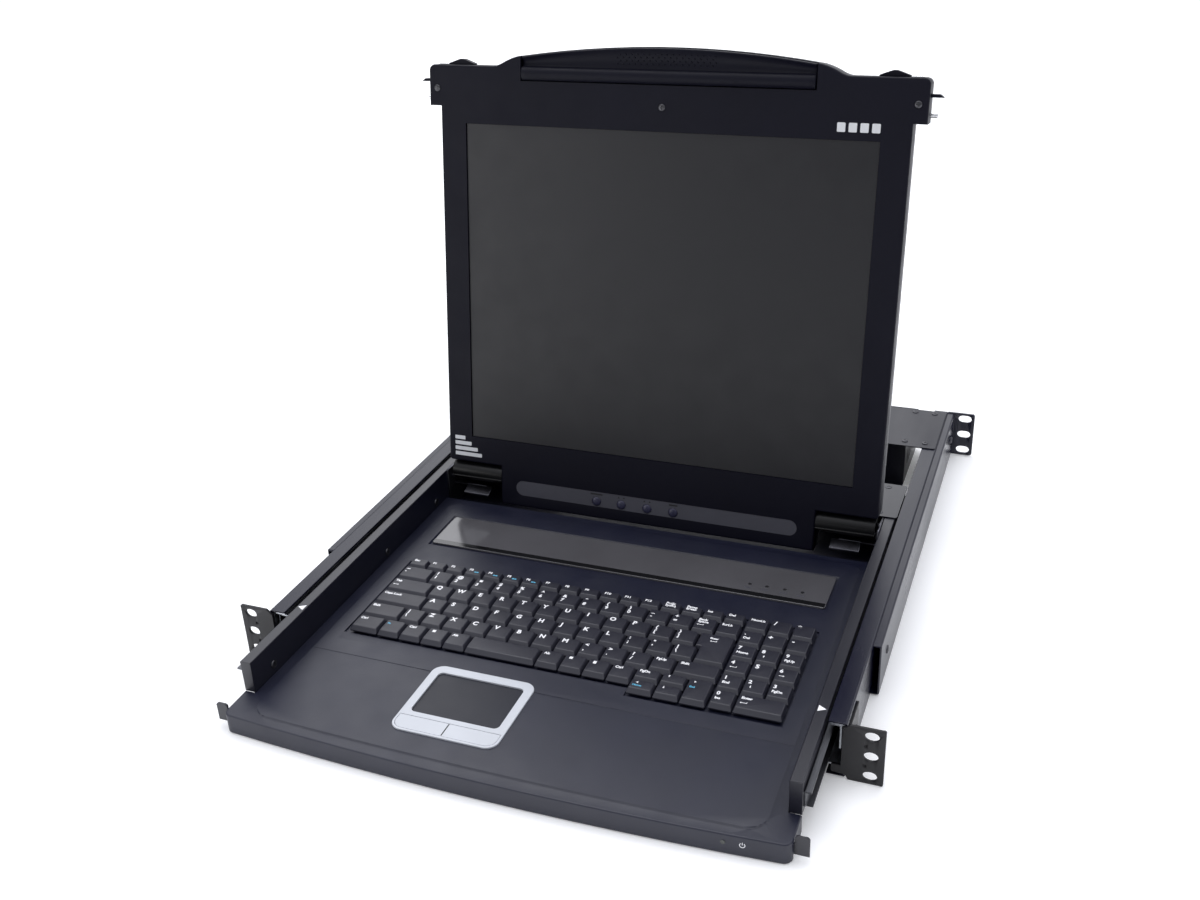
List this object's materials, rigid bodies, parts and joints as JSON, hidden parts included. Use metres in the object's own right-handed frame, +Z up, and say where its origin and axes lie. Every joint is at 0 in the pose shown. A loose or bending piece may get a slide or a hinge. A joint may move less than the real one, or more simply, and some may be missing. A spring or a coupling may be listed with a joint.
{
  "type": "rack kvm console drawer",
  "caption": "Slim rack console drawer with a fold-down display, keyboard and touchpad on telescopic slides, and switch electronics in a fixed case behind.",
  "frame": {"origin": "centre of the front ears' hole pattern, on the ears' front face", "axes": "+X to the right, +Y to the back of the rack, +Z up"},
  "size_m": [0.4826, 0.5836, 0.4021],
  "materials": {
    "rail_steel": "black paint, satin",
    "ear_steel": "brown-black textured paint",
    "zinc_slide": "zinc plated, drawn",
    "drawer_steel": "black paint, satin",
    "housing_plastic": "fine spark texture",
    "key_plastic": "fine matte",
    "silver_plastic": "silver paint",
    "pad_surface": "fine matte",
    "window_plastic": "smoked, glossy",
    "bezel_plastic": "fine spark texture, near black",
    "cover_plastic": "light grey, fine texture",
    "screen_face": "anti-glare film",
    "grip_plastic": "fine texture with raised dots",
    "button_plastic": "smooth domes",
    "screw_steel": "zinc plated",
    "pin_steel": "polished",
    "board": "green circuit board",
    "port_shell": "nickel plated",
    "inlet_plastic": "smooth black",
    "led_lens": "clear lens"
  },
  "bodies": {
    "frame": {"left_side_rail": "rail_steel", "right_side_rail": "rail_steel", "left_front_ear": "ear_steel", "right_front_ear": "ear_steel", "left_rear_bracket": "rail_steel", "right_rear_bracket": "rail_steel", "left_outer_slide": "zinc_slide", "right_outer_slide": "zinc_slide", "switch_case": "drawer_steel", "switch_cover": "drawer_steel", "switch_board": "board", "power_supply": "board", "computer_ports": "port_shell", "power_inlet": "inlet_plastic", "frame_screws": "screw_steel"},
    "power_rocker": {"power_switch": "inlet_plastic"},
    "left_mid": {"left_middle_slide": "zinc_slide"},
    "right_mid": {"right_middle_slide": "zinc_slide"},
    "drawer": {"base_pan": "drawer_steel", "left_side_wall": "drawer_steel", "right_side_wall": "drawer_steel", "left_inner_slide": "zinc_slide", "right_inner_slide": "zinc_slide", "keyboard_housing": "housing_plastic", "power_led": "led_lens", "indicator_window": "window_plastic", "indicator_board": "board", "keyboard_base": "housing_plastic", "touchpad_bezel": "silver_plastic", "touchpad_surface": "pad_surface", "hinge_brackets": "screw_steel", "hinge_pins": "pin_steel", "rear_cover_plate": "drawer_steel", "drawer_screws": "screw_steel", "control_board": "board"},
    "function_row": {"function_keys": "key_plastic"},
    "number_row": {"number_keys": "key_plastic"},
    "upper_row": {"upper_letter_keys": "key_plastic"},
    "home_row": {"home_letter_keys": "key_plastic"},
    "lower_row": {"lower_letter_keys": "key_plastic"},
    "bottom_row": {"bottom_keys": "key_plastic"},
    "space_key": {"space_bar": "key_plastic"},
    "left_button": {"left_touch_button": "silver_plastic"},
    "right_button": {"right_touch_button": "silver_plastic"},
    "display": {"display_bezel": "bezel_plastic", "display_back_cover": "cover_plastic", "display_panel": "screen_face", "display_board": "board", "handle_grip": "grip_plastic", "left_hinge_barrel": "pin_steel", "right_hinge_barrel": "pin_steel", "hinge_covers": "bezel_plastic", "locating_pins": "pin_steel", "bezel_screws": "screw_steel"},
    "latch_left": {"left_latch": "grip_plastic"},
    "latch_right": {"right_latch": "grip_plastic"},
    "menu_1": {"menu_button_1": "button_plastic"},
    "menu_2": {"menu_button_2": "button_plastic"},
    "menu_3": {"menu_button_3": "button_plastic"},
    "menu_4": {"menu_button_4": "button_plastic"}
  },
  "joints": [
    {"name": "drawer_slide", "type": "slide", "parent": "frame", "child": "drawer", "axis": [0, -1, 0], "range_m": [-0.0765, 0.32]},
    {"name": "left_mid_slide", "type": "slide", "parent": "frame", "child": "left_mid", "axis": [0, -1, 0], "range_m": [-0.03825, 0.16]},
    {"name": "right_mid_slide", "type": "slide", "parent": "frame", "child": "right_mid", "axis": [0, -1, 0], "range_m": [-0.03825, 0.16]},
    {"name": "display_hinge", "type": "hinge", "parent": "drawer", "child": "display", "pos_m": [0, 0.2589, 0.0128], "axis": [1, 0, 0], "range_deg": [-16, 98.75]},
    {"name": "power_rocker_tilt", "type": "hinge", "parent": "frame", "child": "power_rocker", "pos_m": [0.134, 0.481, 0], "axis": [1, 0, 0], "range_deg": [0, 14]},
    {"name": "latch_left_slide", "type": "slide", "parent": "display", "child": "latch_left", "axis": [1, 0, 0], "range_m": [0, 0.005], "stiffness_N_per_m": 300, "springref_m": -0.003},
    {"name": "latch_right_slide", "type": "slide", "parent": "display", "child": "latch_right", "axis": [-1, 0, 0], "range_m": [0, 0.005], "stiffness_N_per_m": 300, "springref_m": -0.003},
    {"name": "left_button_press", "type": "slide", "parent": "drawer", "child": "left_button", "axis": [0, 0, -1], "range_m": [0, 0.0008], "stiffness_N_per_m": 900, "springref_m": -0.0006},
    {"name": "right_button_press", "type": "slide", "parent": "drawer", "child": "right_button", "axis": [0, 0, -1], "range_m": [0, 0.0008], "stiffness_N_per_m": 900, "springref_m": -0.0006},
    {"name": "menu_1_press", "type": "slide", "parent": "display", "child": "menu_1", "axis": [0, 0.9884, -0.1521], "range_m": [0, 0.0008], "stiffness_N_per_m": 900, "springref_m": -0.0006},
    {"name": "menu_2_press", "type": "slide", "parent": "display", "child": "menu_2", "axis": [0, 0.9884, -0.1521], "range_m": [0, 0.0008], "stiffness_N_per_m": 900, "springref_m": -0.0006},
    {"name": "menu_3_press", "type": "slide", "parent": "display", "child": "menu_3", "axis": [0, 0.9884, -0.1521], "range_m": [0, 0.0008], "stiffness_N_per_m": 900, "springref_m": -0.0006},
    {"name": "menu_4_press", "type": "slide", "parent": "display", "child": "menu_4", "axis": [0, 0.9884, -0.1521], "range_m": [0, 0.0008], "stiffness_N_per_m": 900, "springref_m": -0.0006},
    {"name": "function_row_press", "type": "slide", "parent": "drawer", "child": "function_row", "axis": [0, 0, -1], "range_m": [0, 0.002], "stiffness_N_per_m": 900, "springref_m": -0.0012},
    {"name": "number_row_press", "type": "slide", "parent": "drawer", "child": "number_row", "axis": [0, 0, -1], "range_m": [0, 0.002], "stiffness_N_per_m": 900, "springref_m": -0.0012},
    {"name": "upper_row_press", "type": "slide", "parent": "drawer", "child": "upper_row", "axis": [0, 0, -1], "range_m": [0, 0.002], "stiffness_N_per_m": 900, "springref_m": -0.0012},
    {"name": "home_row_press", "type": "slide", "parent": "drawer", "child": "home_row", "axis": [0, 0, -1], "range_m": [0, 0.002], "stiffness_N_per_m": 900, "springref_m": -0.0012},
    {"name": "lower_row_press", "type": "slide", "parent": "drawer", "child": "lower_row", "axis": [0, 0, -1], "range_m": [0, 0.002], "stiffness_N_per_m": 900, "springref_m": -0.0012},
    {"name": "bottom_row_press", "type": "slide", "parent": "drawer", "child": "bottom_row", "axis": [0, 0, -1], "range_m": [0, 0.002], "stiffness_N_per_m": 900, "springref_m": -0.0012},
    {"name": "space_key_press", "type": "slide", "parent": "drawer", "child": "space_key", "axis": [0, 0, -1], "range_m": [0, 0.002], "stiffness_N_per_m": 900, "springref_m": -0.0012}
  ],
  "couplings": [
    {"joint": "left_mid_slide", "follows": "drawer_slide", "ratio": 0.5},
    {"joint": "right_mid_slide", "follows": "drawer_slide", "ratio": 0.5}
  ]
}
